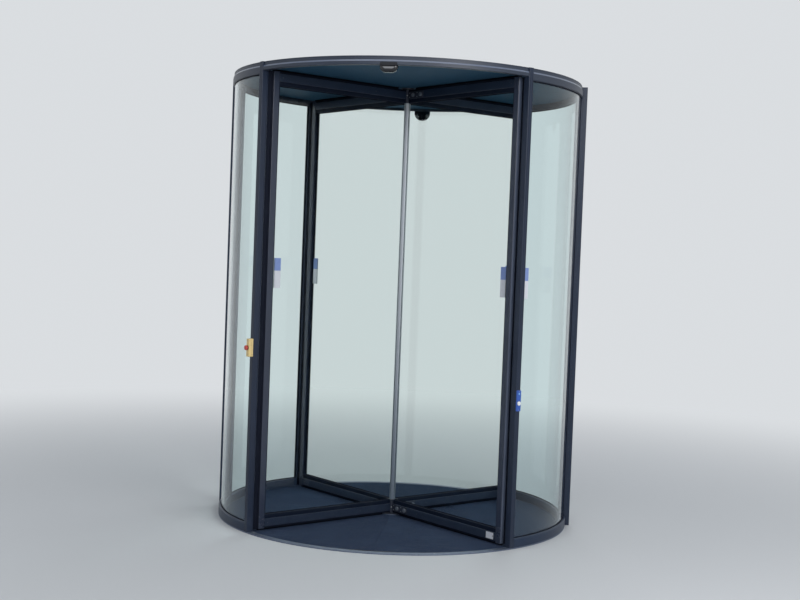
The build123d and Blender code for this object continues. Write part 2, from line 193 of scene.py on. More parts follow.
def piece(name, shell, finishes, body, replaced=(), angle=32):
    # writes the shell into a mesh, turns its faces outwards and hangs it on its body
    mesh = bpy.data.meshes.new(name)
    points = np.concatenate(shell.points).astype(np.float32)
    loops = np.concatenate(shell.loops).astype(np.int32)
    sizes = np.concatenate(shell.sizes).astype(np.int32)
    mesh.vertices.add(len(points))
    mesh.vertices.foreach_set("co", points.ravel())
    mesh.loops.add(len(loops))
    mesh.loops.foreach_set("vertex_index", loops)
    mesh.polygons.add(len(sizes))
    mesh.polygons.foreach_set("loop_start", (np.cumsum(sizes) - sizes).astype(np.int32))
    for finish in finishes:
        mesh.materials.append(bpy.data.materials[finish])
    mesh.polygons.foreach_set("material_index", np.concatenate(shell.marks).astype(np.int32))
    mesh.update(calc_edges=True)
    mesh.validate()
    whole = bmesh.new()
    whole.from_mesh(mesh)
    bmesh.ops.recalc_face_normals(whole, faces=whole.faces)
    whole.to_mesh(mesh)
    whole.free()
    mesh.shade_smooth()
    mesh.set_sharp_from_angle(angle=math.radians(angle))
    thing = bpy.data.objects.new(name, mesh)
    bpy.context.scene.collection.objects.link(thing)
    # normals weighted by area keep the large faces flat between their small rounds
    flat = thing.modifiers.new("weighted", "WEIGHTED_NORMAL")
    flat.mode, flat.keep_sharp = "FACE_AREA", True
    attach(thing, body)
    for node in replaced:
        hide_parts(node)


# shader writing
class Wire:
    # a socket; + - * and ** on it add Math nodes
    def __init__(self, paint, socket):
        self.paint, self.socket = paint, socket

    def math(self, kind, first, second):
        return self.paint.node("Math", {"operation": kind}, {0: first, 1: second})

    def __add__(self, other):
        return self.math("ADD", self, other)

    def __sub__(self, other):
        return self.math("SUBTRACT", self, other)

    def __rsub__(self, other):
        return self.math("SUBTRACT", other, self)

    def __mul__(self, other):
        return self.math("MULTIPLY", self, other)

    def __pow__(self, other):
        return self.math("POWER", self, other)

    __radd__, __rmul__ = __add__, __mul__

    def between(self, low, high):
        # 0 at low, 1 at high, smooth between
        return self.paint.node("MapRange", {"interpolation_type": "SMOOTHSTEP"}, {0: self, 1: low, 2: high})


class Paint:
    # one node tree and the few calls that fill it
    def __init__(self, name, tree=None):
        if tree is None:
            self.material = bpy.data.materials.new(name)
            self.material.use_nodes = True
            tree = self.material.node_tree
        self.tree = tree
        tree.nodes.clear()

    def node(self, kind, settings=None, inputs=None, out=0):
        made = self.tree.nodes.new("ShaderNode" + kind)
        for key, value in (settings or {}).items():
            setattr(made, key, value)
        for key, value in (inputs or {}).items():
            self.feed(made.inputs[key], value)
        return Wire(self, made.outputs[out]) if len(made.outputs) else None

    def feed(self, socket, value):
        if isinstance(value, Wire):
            self.tree.links.new(value.socket, socket)
        elif isinstance(value, (tuple, list)) and len(value) == 3 and socket.type == "RGBA":
            socket.default_value = (*value, 1)
        else:
            socket.default_value = value

    def place(self):
        return self.node("TexCoord", out="Object")

    def axes(self):
        # x, y, z of the object coordinates
        parts = self.tree.nodes.new("ShaderNodeSeparateXYZ")
        self.feed(parts.inputs[0], self.place())
        return [Wire(self, output) for output in parts.outputs]

    def noise(self, scale, detail=3.0, rough=0.55, stretch=None):
        # cloudy noise in the object's own place, stretched by (x, y, z) where given
        where = self.place()
        if stretch:
            where = self.node("Mapping", None, {"Vector": where, "Scale": stretch})
        values = {"Vector": where, "Scale": scale, "Detail": detail, "Roughness": rough}
        return self.node("TexNoise", None, values)

    def blend(self, amount, a, b):
        return self.node("Mix", {"data_type": "RGBA", "clamp_factor": True}, {0: amount, 6: a, 7: b}, 2)

    def bump(self, height, distance):
        return self.node("Bump", None, {"Height": height, "Distance": distance})

    def mixed(self, amount, a, b, out="Material"):
        # two shaders mixed by amount, as the tree's output
        mix = self.node("MixShader", None, {0: amount, 1: a, 2: b})
        self.node("Output" + out, None, {"Surface": mix})

    def finish(self, **values):
        # keywords are the shader's inputs with the blanks left out
        shader = self.node("BsdfPrincipled")
        inputs = {s.name.replace(" ", ""): s for s in shader.socket.node.inputs}
        for key, value in values.items():
            self.feed(inputs[key], value)
        self.node("OutputMaterial", None, {"Surface": shader})


# finishes; the coverings of the frame have colour, roughness, grime and mirror each
enamel = dict(grime=(0.048, 0.060, 0.088), grimeTop=0.22, lighter=1.35, peel=0.00008)
paints = dict(frameEnamel=((0.017, 0.0255, 0.048), 0.30, 0.35, 0.28),
              # painted shade: the wall rails' paint is a darker, bluer copy of the frame paint, for the shade
              # near the floor
              wallRailEnamel=((0.014, 0.026, 0.055), 0.34, 0.22, 0.26),
              # painted shade: the wing rails' paint is a darker copy of the stiles' paint
              wingEnamel=((0.012, 0.0215, 0.044), 0.30, 0.35, 0.42),
              # painted light: the stiles' paint is a lighter copy of the wing rails' paint
              stileEnamel=((0.026, 0.034, 0.058), 0.24, 0.35, 0.50),
              # painted highlight: a much lighter paint for the strips on the rim's ledge and on the stiles'
              # ends
              edgeEnamel=((0.115, 0.140, 0.200), 0.24, 0.20, 0.50),
              hubEnamel=((0.014, 0.019, 0.034), 0.42, 0.30, 0.50),
              rimEnamel=((0.026, 0.035, 0.056), 0.42, 0.0, 0.38),
              roofEnamel=((0.036, 0.044, 0.068), 0.45, 0.0, 0.50))


def paintedProfile(name, colour, rough, grime, mirror):
    # powder coat: orange peel, faint cloudy gloss, splash dirt that thins out above the floor
    p = Paint(name)
    height = p.axes()[2]
    cloud = p.noise(7.0, 4.0)
    streak = p.noise(1.0, 4.0, 0.6, (85.0, 85.0, 1.6))
    splash = p.noise(26.0, 5.0, 0.65)
    low = 1 - height.between(0.0, enamel["grimeTop"])
    dirt = (low * low * (splash.between(0.36, 0.72) * 0.7 + 0.3) + streak.between(0.60, 0.80) * 0.10) * grime
    tone = p.blend(cloud.between(0.35, 0.70) * 0.28, colour, tuple(c * enamel["lighter"] for c in colour))
    peel = p.noise(620.0, 2.0) * 0.7 + p.noise(90.0, 2.0) * 0.3
    p.finish(BaseColor=p.blend(dirt, tone, enamel["grime"]), SpecularIORLevel=mirror,
             Roughness=rough + cloud * 0.10 + dirt * 0.35 - 0.05, Normal=p.bump(peel, enamel["peel"]))


panes = dict(bentGlass=(0.875, 0.95, 0.945), wingGlass=(0.91, 0.955, 0.94))
glassMake = dict(ior=1.28, shade=(0.90, 0.93, 0.92))


def clearGlass(name, tint):
    # clear pane: lamps pass through it as through air
    p = Paint(name)
    shader = p.node("BsdfPrincipled", None, {"Base Color": tint, "Roughness": 0.0, "IOR": glassMake["ior"],
                                             "Transmission Weight": 1.0})
    through = p.node("BsdfTransparent", None, {"Color": glassMake["shade"]})
    p.mixed(p.node("LightPath", out="Is Shadow Ray"), shader, through)


ringTones = dict(clean=(0.140, 0.170, 0.240), worn=(0.084, 0.104, 0.150), linesPerMetre=900.0)


def brushedRing():
    # stainless ring brushed along its own round: noise read by distance from the axis, scuffed on top
    p = Paint("brushedRing")
    x, y, z = p.axes()
    radius = (x * x + y * y) ** 0.5
    lines = p.node("TexNoise", {"noise_dimensions": "1D"},
                   {"W": radius * ringTones["linesPerMetre"], "Scale": 1.0, "Detail": 4.0})
    worn = p.noise(38.0, 5.0, 0.7).between(0.50, 0.72)
    p.finish(BaseColor=p.blend(worn * 0.55, ringTones["clean"], ringTones["worn"]), Metallic=0.7,
             Roughness=0.33 + lines * 0.16 + worn * 0.14, Normal=p.bump(lines, 0.00004))


pileTones = dict(dark=(0.012, 0.023, 0.050), light=(0.028, 0.050, 0.104), lane=(0.036, 0.059, 0.110),
                 lint=(0.065, 0.089, 0.130), tuftsPerMetre=520.0, depth=0.0009)


def carpetPile():
    # cut pile: tufts as fine cells, flecked, with lint and worn lanes
    p = Paint("carpetPile")
    tuft = p.node("TexVoronoi", None, {"Vector": p.place(), "Scale": pileTones["tuftsPerMetre"]}, "Distance")
    fleck = p.noise(310.0, 2.0)
    lane = p.noise(4.2, 4.0, 0.6).between(0.40, 0.70) * 0.35
    lint = p.noise(75.0, 5.0, 0.7).between(0.63, 0.80) * 0.22
    tone = p.blend(fleck.between(0.35, 0.65), pileTones["dark"], pileTones["light"])
    walked = p.blend(lane, tone, pileTones["lane"])
    p.finish(BaseColor=p.blend(lint, walked, pileTones["lint"]), Roughness=0.95, SpecularIORLevel=0.12,
             Normal=p.bump(tuft + fleck * 0.5, pileTones["depth"]))


def dullRail():
    # dark anodised carrier rail of the mat, scraped bright on its crest
    p = Paint("dullRail")
    scrape = p.noise(1.0, 4.0, 0.6, (9.0, 300.0, 300.0)).between(0.45, 0.75)
    p.finish(BaseColor=p.blend(scrape * 0.6, (0.040, 0.044, 0.058), (0.13, 0.135, 0.15)), Metallic=0.6,
             Roughness=0.50)


rubbers = dict(sealRubber=((0.003, 0.005, 0.013), 0.60), matRubber=((0.006, 0.008, 0.013), 0.70),
               bristle=((0.004, 0.005, 0.010), 0.90), beadBlack=((0.005, 0.009, 0.021), 0.42))


def blackRubber(name, tone, rough, dust=(0.022, 0.028, 0.040)):
    # matt black with a fine grain and a little dust
    p = Paint(name)
    grain = p.noise(240.0, 3.0)
    dusty = p.noise(12.0, 4.0).between(0.5, 0.8)
    p.finish(BaseColor=p.blend(dusty * 0.25, tone, dust), Roughness=rough + grain * 0.12,
             SpecularIORLevel=0.12, Normal=p.bump(grain, 0.0001))


# the low tone is painted shade: a reflection of dark surroundings, painted low on the profile
centreTones = dict(dark=(0.38, 0.405, 0.44), light=(0.46, 0.485, 0.52), low=(0.060, 0.095, 0.145),
                   dullTop=1.60)


def satinAluminium():
    # natural anodised profile, drawn along its length, darkened towards the floor by a painted reflection of
    # dark surroundings
    p = Paint("satinAluminium")
    drawn = p.noise(1.0, 5.0, 0.6, (420.0, 420.0, 2.2))
    smear = p.noise(1.0, 4.0, 0.6, (60.0, 60.0, 5.0)).between(0.55, 0.80)
    # painted shade: the colour darkens towards the floor, standing in for dark surroundings mirrored in the
    # profile
    paintedShadeBelow = 1 - p.axes()[2].between(0.05, centreTones["dullTop"])
    bright = p.blend(p.noise(5.0, 3.0) * 0.5, centreTones["dark"], centreTones["light"])
    p.finish(BaseColor=p.blend(paintedShadeBelow * 0.74, bright, centreTones["low"]), Metallic=0.25,
             Roughness=0.44 + drawn * 0.12 + smear * 0.10, Normal=p.bump(drawn, 0.00004))


def soffitLacquer():
    # dark teal panel with a slightly wavy satin gloss
    p = Paint("soffitLacquer")
    dust = p.noise(60.0, 5.0, 0.7).between(0.55, 0.85)
    p.finish(BaseColor=p.blend(dust * 0.12, (0.034, 0.088, 0.146), (0.07, 0.12, 0.16)), IOR=1.05,
             Roughness=0.42 + dust * 0.18, Normal=p.bump(p.noise(2.6, 2.0), 0.0012))


# painted highlight: the catch knobs' tone is a lighter grey standing in for their highlights
plastics = dict(catchMetal=dict(tone=(0.12, 0.135, 0.165), rough=0.26, coat=0.3),
                sensorShell=dict(tone=(0.005, 0.006, 0.009), rough=0.08, grain=0.00001, ior=1.55),
                sensorPlate=dict(tone=(0.005, 0.006, 0.010), rough=0.34, ior=1.30),
                sensorWindow=dict(tone=(0.012, 0.004, 0.006), rough=0.05, grain=0.0, coat=0.8),
                stopCream=dict(tone=(0.80, 0.60, 0.26), rough=0.42, cloudy=0.40),
                stopRed=dict(tone=(0.60, 0.060, 0.045), rough=0.30),
                plateBlue=dict(tone=(0.030, 0.100, 0.42), rough=0.34),
                plateSpot=dict(tone=(0.22, 0.47, 0.80), rough=0.25),
                buttonWhite=dict(tone=(0.82, 0.84, 0.86), rough=0.25),
                labelWhite=dict(tone=(0.66, 0.67, 0.72), rough=0.40),
                labelBlue=dict(tone=(0.20, 0.28, 0.56), rough=0.35))


def plastic(name, tone, rough, grain=0.00005, coat=0.0, cloudy=0.25, ior=1.5):
    # moulded or printed surface: fine grain, faint clouds three quarters as light
    p = Paint(name)
    cloud = p.noise(40.0, 4.0, 0.6)
    p.finish(BaseColor=p.blend(cloud.between(0.4, 0.8) * cloudy, tone, tuple(c * 0.72 for c in tone)),
             Roughness=rough + cloud * 0.08, Normal=p.bump(p.noise(700.0, 2.0), grain), CoatWeight=coat,
             CoatRoughness=0.05, IOR=ior)


screwTones = dict(screwSteel=(0.36, 0.37, 0.38), darkSteel=(0.10, 0.105, 0.12))


def screwMetal(name, tone):
    # plain metal whose gloss varies finely
    p = Paint(name)
    p.finish(BaseColor=tone, Metallic=1.0, Roughness=0.25 + p.noise(300.0, 3.0) * 0.2)


for name, values in paints.items():
    paintedProfile(name, *values)
for name, tint in panes.items():
    clearGlass(name, tint)
for name, values in rubbers.items():
    blackRubber(name, *values)
for name, values in plastics.items():
    plastic(name, **values)
for name, tone in screwTones.items():
    screwMetal(name, tone)
brushedRing()
carpetPile()
dullRail()
satinAluminium()
soffitLacquer()
print("finishes ready:", len(bpy.data.materials))


# small fixings: radius and height of the screw heads, by what they hold
screwSizes = dict(ring=(0.0045, 0.0007), bearing=(0.0045, 0.0009), soffit=(0.0042, 0.0010),
                  roof=(0.0055, 0.0008), boss=(0.0030, 0.0008), cheek=(0.0030, 0.0012),
                  hub=(0.0038, 0.0012), rail=(0.0030, 0.0011), stop=(0.0028, 0.0010), plate=(0.0024, 0.0009))


def screw(kind):
    # domed head with a round socket, turned round the screw's axis
    r, h = screwSizes[kind]
    return lathe([(r, 0), (r, 0.45 * h), (0.93 * r, 0.78 * h), (0.72 * r, h), (0.46 * r, h),
                  (0.42 * r, 0.9 * h), (0.40 * r, 0.25 * h)], 20)


def thinSheet(width, height, corner, thickness, ease=0.0):
    # flat tile with round corners, its back on the face it lies on
    w, h = width / 2, height / 2
    outline = rounded([(-w, -h), (w, -h), (w, h), (-w, h)], corner, 6)
    if not ease:
        return bar(outline, 0, thickness)
    return stacked([outline, outline, drawnIn(outline, ease * 0.3), drawnIn(outline, ease)],
                   [0, thickness - ease, thickness - ease * 0.3, thickness])


# floor of the drum: mat, ring, lower bearing; roundings and crown in millimetres
mat = dict(radius=1.0045, hole=0.0625, backHole=0.0600, base=0.0012, top=0.0060, pitch=0.027, pile=0.019,
           crown=1.4, railWidth=0.0018, railTop=0.0050, railEase=0.0006, joint=0.0005, edgeGap=0.0008)
ring = dict(outerRound=1.2, innerRound=0.8, screws=np.arange(52, 129, 19), screwPlace=1.026, sunk=0.0002)
bearing = dict(cover=[(0.060, 0.0), (0.060, 0.0072), (0.0594, 0.0083), (0.0582, 0.0090), (0.0380, 0.0090),
                      (0.0372, 0.0084), (0.0364, 0.0090), (0.0206, 0.0090), (0.0201, 0.0085),
                      (0.0201, 0.0030)], screwPlace=0.0490, screwLevel=0.0088)


def ribHalves(offsets, heights):
    # a rib's section (y, z), cut by the mat's circle outside and the bearing's circle inside:
    # x runs from sqrt(hole^2 - y^2) to sqrt(radius^2 - y^2), once to the right and once to the left
    m = mat
    count = int(m["radius"] * 2 // m["pitch"]) + 1
    middles = (np.arange(count) - (count - 1) / 2) * m["pitch"]
    middles = middles[np.abs(middles) < m["radius"] - m["edgeGap"] - np.abs(offsets).max()]
    y = middles[:, None] + offsets
    z = np.broadcast_to(heights, y.shape)
    near = np.sqrt(np.maximum(m["hole"] ** 2 - y ** 2, 0)) + m["joint"]
    far = np.sqrt(m["radius"] ** 2 - y ** 2)
    halves = [np.stack([np.stack([side * x, y, z], -1) for x in (near, far)], 1) for side in (1, -1)]
    return np.concatenate(halves)


def floorPieces():
    # backing, ring and bearing cover are sections turned round the axis; the mat's ribs run across
    m, d, r, b = mat, drum, ring, bearing
    half, base, wide, top, ease = m["pile"] / 2, m["base"], m["railWidth"], m["railTop"], m["railEase"]
    backing = [(m["backHole"], 0.0), (m["radius"], 0.0), (m["radius"], base), (m["backHole"], base)]
    piece("matBacking", Shell().skin(lathe(backing, 160), closeRows=True), ["matRubber"], "drum")

    rib = [(-half, base, 0), (half, base, 0), (half, m["top"], m["crown"]), (-half, m["top"], m["crown"])]
    s = Shell().copies(ribHalves(*softened(rib, 4).T))
    rail = np.array([(0, base), (wide, base), (wide, top - ease), (wide - ease, top), (0, top)])
    for way in (1, -1):
        s.copies(ribHalves(way * (rail[:, 0] + half), rail[:, 1]), 1)
    piece("entranceMat", s, ["carpetPile", "dullRail"], "drum", ["floor_mat"])

    edge = [(d["inner"], 0.0, 0), (d["outer"], 0.0, 0), (d["outer"], d["ringTop"], r["outerRound"]),
            (d["inner"], d["ringTop"], r["innerRound"])]
    s = Shell().skin(lathe(softened(edge, 4), 240), closeRows=True)
    fixings = np.concatenate([-r["screws"][::-1], r["screws"]])
    s.put(screw("ring"), (r["screwPlace"], 0, d["ringTop"] - r["sunk"]), upward, fixings, 1)
    piece("thresholdRing", s, ["brushedRing", "screwSteel"], "drum", ["floor_ring"])

    s = Shell().skin(lathe(b["cover"], 120))
    s.put(screw("bearing"), (b["screwPlace"], 0, b["screwLevel"]), upward, np.add(quarters, 45), 1)
    piece("lowerBearingCover", s, ["brushedRing", "screwSteel"], "drum", ["floor_bearing"])


# posts, rails, bent panes, gaskets
postMake = dict(round=0.003, grooveDepth=0.011, seam=0.0014, seamDepth=0.0016, shadowSeam=(1.0135, 1.0149),
                coverIn=0.008, headIn=1.037, capHigh=0.004, capSeam=0.0008, capSeamDepth=0.0006,
                capEase=0.00072, footGap=0.0003)


def postSide(half, reach, pane):
    # one side of a post's plan from the drum's inside outwards, as (x, y, rounding): a glazing groove or a
    # shadow seam, the seam beside the facade's tongue, and half of the outer face with its cover seam
    d, m = drum, postMake
    w, c = m["seam"] / 2, m["seamDepth"]

    def notch(start, end, depth):
        return [(start, half, 0), (start, half - depth, 0), (end, half - depth, 0), (end, half, 0)]

    points = [(d["inner"], half, 1)]
    points += notch(d["grooveIn"], d["grooveOut"], m["grooveDepth"]) if pane else notch(*m["shadowSeam"], c)
    if reach > d["outer"]:
        points += notch(d["outer"] - w, d["outer"] + w, c)
    cover = half - m["coverIn"]
    points += [(reach, half, 1), (reach, cover + w, 0), (reach - c, cover + w, 0), (reach - c, cover - w, 0),
               (reach, cover - w, 0)]
    return np.array(points)


def headOutline(half, reach, inner):
    # oblong from the inner radius to the reach, with its two outer corners rounded
    points = [(inner, -half, 0), (reach, -half, 1), (reach, half, 1), (inner, half, 0)]
    return softened(points, 6, postMake["round"])


def postPiece(name, node, azimuth, half, reach, sides):
    # shaft, head that laps over the rim with a seam under its cap, and a facade post's foot
    d, m = drum, postMake
    left, right = (postSide(half, reach, side in sides) for side in (-1, 1))
    plan = softened(np.concatenate([left * (1, -1, 1), right[::-1]]), 6, m["round"])
    head = headOutline(half, reach, m["headIn"])
    cap = d["canopyTop"] - m["capHigh"]
    s = Shell().skin(turned(bar(plan, d["ringTop"], d["canopyLow"]), azimuth))
    s.skin(turned(bar(head, d["canopyLow"], cap), azimuth))
    s.skin(turned(bar(drawnIn(head, m["capSeamDepth"]), cap, cap + m["capSeam"]), azimuth), 1)
    s.skin(turned(bar(head, cap + m["capSeam"], d["canopyTop"], m["capEase"]), azimuth))
    if reach > d["outer"]:
        s.skin(turned(bar(headOutline(half, reach, d["outer"] + m["footGap"]), 0.0, d["ringTop"]), azimuth))
    piece(name, s, ["frameEnamel", "sealRubber"], "drum", [node])


def lip(width, height):
    # quarter-round gasket lip: x away from the glass, y away from the frame
    return np.array([(0, -0.001), (width, -0.001), (width, height * 0.25), (width * 0.75, height * 0.62),
                     (width * 0.3, height), (0, height)])


# roundings in millimetres
wallMake = dict(seat=0.042, paneTop=2.572, paneRound=1.2, paneGap=0.0003, footRound=1.2, shoulder=7.0,
                grooveRound=0.3, bead=(0.0034, 0.0045), steps=49, paneSteps=65)


def wallPieces(name):
    # sections of rail, pane and gasket lips bent round the axis between the corner post and the facade post
    d, m = drum, wallMake
    facade, way = walls[name]
    ends = [(corners[name], d["postHalf"]), (facade, d["facadeHalf"])][::way]
    low, top, seat, high = d["ringTop"], d["railTop"], m["seat"], m["paneTop"]
    foot, shoulder, groove = m["footRound"], m["shoulder"], m["grooveRound"]
    rail = [(d["inner"], low, foot), (d["outer"], low, foot), (d["outer"], top, shoulder),
            (d["grooveOut"], top, groove), (d["grooveOut"], seat, 0), (d["grooveIn"], seat, 0),
            (d["grooveIn"], top, groove), (d["inner"], top, shoulder)]
    s = Shell().skin(bent(softened(rail, 7), *ends, m["steps"]))
    piece(name + "WallRail", s, ["wallRailEnamel"], "drum", [nodeNames[name] + "_bottom_rail"])

    pane = [(d["glassIn"], seat), (d["glassOut"], seat), (d["glassOut"], high), (d["glassIn"], high)]
    pane = rounded(pane, m["paneRound"] * mm, 3)
    s = Shell().skin(bent(pane, *ends, m["paneSteps"], postMake["grooveDepth"] - m["paneGap"]))
    piece(name + "WallPane", s, ["bentGlass"], "drum", [nodeNames[name] + "_wall_glass"])

    bead = lip(*m["bead"])
    s = Shell()
    for radius, out in ((d["glassOut"], 1), (d["glassIn"], -1)):
        for level, rise in ((top, 1), (d["headLow"], -1)):
            s.skin(bent(bead * (out, rise) + (radius, level), *ends, m["steps"]))
        for (azimuth, half), rise in zip(ends, (1, -1)):
            plan = (bead + (0, half)) * (out, rise) + (radius, 0)
            s.skin(turned(bar(plan, top, d["headLow"]), azimuth))
    piece(name + "WallGasket", s, ["sealRubber"], "drum")


# canopy: rim, soffit, roof, upper bearing
canopy = dict(inner=1.012, outer=1.043, notch=1.0367, rebate=1.030, roofLow=2.606, headBevel=0.004,
              paneRoom=0.012, bevel=0.002, gap=0.0003, seamLow=2.6035, seamHigh=2.6050, seamDepth=0.0018,
              ledgeLow=2.5800, ledgeHigh=2.5895, ledge=0.0055, stripLow=0.0001, stripHigh=0.0052,
              stripEnd=0.0004, stripThick=0.0019, wallSteps=49, throatSteps=97)
soffit = dict(radius=1.0110, hole=0.0395, level=2.578, thick=0.004, joint=0.0015, ease=0.0008, fillOut=1.0105,
              fillLow=2.5795, fillHigh=2.5815, screws=np.arange(15, 360, 30), screwPlace=0.972,
              screwLevel=2.5781)
roof = dict(radius=1.0290, joint=0.002, ease=0.0008, down=0.0008, fillIn=0.010, fillOut=1.028, fill=0.0012,
            screws=np.arange(10, 360, 20), screwPlace=0.992, screwDown=0.0010)
boss = dict(profile=[(0.0151, 2.603), (0.0151, 2.5722), (0.0158, 2.571), (0.0290, 2.571), (0.0296, 2.5716),
                     (0.0302, 2.571), (0.0355, 2.571), (0.0372, 2.5717), (0.0380, 2.5735), (0.0380, 2.582),
                     (0.060, 2.582), (0.060, 2.606)], screwPlace=0.0330, screwLevel=2.5711)


def rimSection(wall, full=True):
    # (radius, height) of the head profile: its upper half stands back behind a sloping ledge, with a fine
    # cover seam under its top edge; over a wall it reaches lower and holds the pane, and behind a post it
    # is cut back
    c, d = canopy, drum
    top, low, bevel = d["canopyTop"], d["canopyLow"], c["bevel"]
    outer = c["outer"] if full else c["notch"]
    head, side, seat = d["headLow"], d["headLow"] + c["headBevel"], low + c["paneRoom"]
    if wall:
        points = [(c["inner"], side, 0.8), (d["grooveIn"], head, 0.3), (d["grooveIn"], seat, 0),
                  (d["grooveOut"], seat, 0), (d["grooveOut"], head, 0.3), (outer, side, 0.8)]
    elif full:
        points = [(c["inner"], low, 0.6), (outer - bevel, low, 0.6), (outer, low + bevel, 0.6)]
    else:
        points = [(c["inner"], low, 0.6), (outer, low, 0), (outer, top, 0)]
    if full:
        upper = outer - c["ledge"]
        deep = upper - c["seamDepth"]
        points += [(outer, c["ledgeLow"], 0.8), (upper, c["ledgeHigh"], 0.8), (upper, c["seamLow"], 0),
                   (deep, c["seamLow"], 0), (deep, c["seamHigh"], 0), (upper, c["seamHigh"], 0),
                   (upper, top - bevel, 0.8), (upper - bevel, top, 0.8)]
    points += [(c["rebate"], top, 0.3), (c["rebate"], c["roofLow"], 0), (c["inner"], c["roofLow"], 0)]
    return softened(points, 4)


def halfPanels(shell, arcs, joint, low, high, ease):
    # two half discs with a joint between them, outlined by arcs of (radius, step)
    angles = np.linspace(0, np.pi, 97)
    arc = np.stack([np.cos(angles), np.sin(angles)], 1)
    plan = np.concatenate([radius * arc[::step] for radius, step in arcs])
    plan[:, 1] = np.maximum(plan[:, 1], joint)
    for way in (0, 180):
        shell.skin(turned(bar(plan, low, high, ease), way))


def canopyPieces():
    # the rim's section bent from post to post and behind each one; half discs for soffit and roof
    c, d, f, r = canopy, drum, soffit, roof
    azimuths = (-45, 0, 45, 135, 180, 225, 315)
    stops = [(a, d["postHalf"] if a % 90 else d["facadeHalf"]) for a in azimuths]
    # a cover strip on the ledge is laid in a much lighter paint: a painted highlight along the ledge
    thick = (c["stripThick"], 0)
    low = np.array([c["outer"] - c["stripLow"], c["ledgeLow"] + c["stripEnd"]])
    high = np.array([c["outer"] - c["stripHigh"], c["ledgeHigh"] - c["stripEnd"]])
    highlightStrip = np.array([low - thick, low, high, high - thick])
    s = Shell()
    for start, end in zip(stops[:-1], stops[1:]):
        wall = end[0] - start[0] < 60
        steps = c["wallSteps" if wall else "throatSteps"]
        s.skin(bent(rimSection(wall), start, end, steps, -c["gap"]))
        s.skin(bent(highlightStrip, start, end, steps, -c["gap"]), 1)
        behind = (start[0], -start[1])
        s.skin(bent(rimSection(False, False), behind, behind, 5, c["gap"]))
    piece("canopyRim", s, ["rimEnamel", "edgeEnamel"], "drum", ["canopy_rim"])

    s = Shell()
    arcs = [(f["radius"], 1), (f["hole"], -4)]
    halfPanels(s, arcs, f["joint"], f["level"], f["level"] + f["thick"], f["ease"])
    s.skin(lathe([(f["hole"], f["fillLow"]), (f["fillOut"], f["fillLow"]), (f["fillOut"], f["fillHigh"]),
                  (f["hole"], f["fillHigh"])]), 1, closeRows=True)
    s.put(screw("soffit"), (f["screwPlace"], 0, f["screwLevel"]), downward, f["screws"], 2)
    piece("soffitPanels", s, ["soffitLacquer", "sealRubber", "screwSteel"], "drum",
          ["canopy_soffit"])

    s = Shell()
    base, top = c["roofLow"], d["canopyTop"]
    halfPanels(s, [(r["radius"], 1)], r["joint"], base, top - r["down"], r["ease"])
    s.skin(lathe([(r["fillIn"], base), (r["fillOut"], base), (r["fillOut"], base + r["fill"]),
                  (r["fillIn"], base + r["fill"])]), 1)
    s.put(screw("roof"), (r["screwPlace"], 0, top - r["screwDown"]), upward, r["screws"], 2)
    piece("roofSheets", s, ["roofEnamel", "sealRubber", "screwSteel"], "drum", ["canopy_roof"])

    s = Shell().skin(lathe(boss["profile"]))
    s.put(screw("boss"), (boss["screwPlace"], 0, boss["screwLevel"]), downward, quarters, 1)
    piece("upperBearingBoss", s, ["hubEnamel", "screwSteel"], "drum", ["top_bearing"])


# rotor: centre profile, hubs, wings, seals
centre = dict(radius=0.020, slotHalf=0.0055, slotDepth=0.009, flute=0.0012)


def centrePiece():
    # plan of the round profile, carried upwards: an arc, a flute, an arc and a glazing slot in each quarter
    r, half, flute = centre["radius"], centre["slotHalf"], centre["flute"]
    deep, middle = r - centre["slotDepth"], np.pi / 4
    slotAngle, fluteAngle = math.asin(half / r), math.asin(flute / r)

    def arc(angles, radius=r):
        return np.stack([radius * np.cos(angles), radius * np.sin(angles)], 1)

    t = np.linspace(0, 1, 7)[1:-1]
    hollow = arc(middle - fluteAngle + 2 * fluteAngle * t, r - flute * np.sin(np.pi * t))
    quarter = np.concatenate([[(deep, half)], arc(np.linspace(slotAngle, middle - fluteAngle, 8)), hollow,
                              arc(np.linspace(middle + fluteAngle, np.pi / 2 - slotAngle, 8)),
                              [(half, deep)]])
    quarter = np.column_stack([quarter, np.zeros(len(quarter))])
    plan = np.concatenate([turned(quarter, azimuth)[:, :2] for azimuth in quarters])
    s = Shell().skin(turned(bar(plan, rotor["openLow"], rotor["openHigh"]), 45))
    piece("centreProfile", s, ["satinAluminium"], "rotor", ["centre_profile"])


hubMake = dict(chamfer=0.008, round=0.0012, ease=0.001, plateFrom=0.026, plateTo=0.168, plateHigh=0.020,
               plateThick=0.004, plateCorner=0.004, level=0.049, knobs=(0.080, 0.148), knobRadius=0.0125,
               knobHeight=0.007, grips=20, gripDepth=0.00018, gripLevel=0.004, gripHalf=0.0014,
               screws=(0.046, 0.114), screwRise=0.012, cornerOut=0.03665, lowerSpindle=(0.020, 0.0033),
               upperSpindle=(0.015, -0.010))


def knob():
    # round catch with a socket in its middle; its gripped edge swells and shrinks with a cosine
    m = hubMake
    r, h = m["knobRadius"], m["knobHeight"]

    def grip(a, z):
        return m["gripDepth"] * np.cos(m["grips"] * a) * (np.abs(z - m["gripLevel"]) < m["gripHalf"])

    profile = [(r * 0.97, 0), (r * 0.97, 0.0012), (r * 0.90, 0.0016), (r * 0.90, 0.0022), (r * 0.985, 0.0028),
               (r * 0.985, 0.0052), (r * 0.93, 0.0063), (r * 0.80, h), (r * 0.44, h), (r * 0.40, h - 0.0006),
               (r * 0.38, h - 0.0028)]
    return lathe(profile, 80, grip)


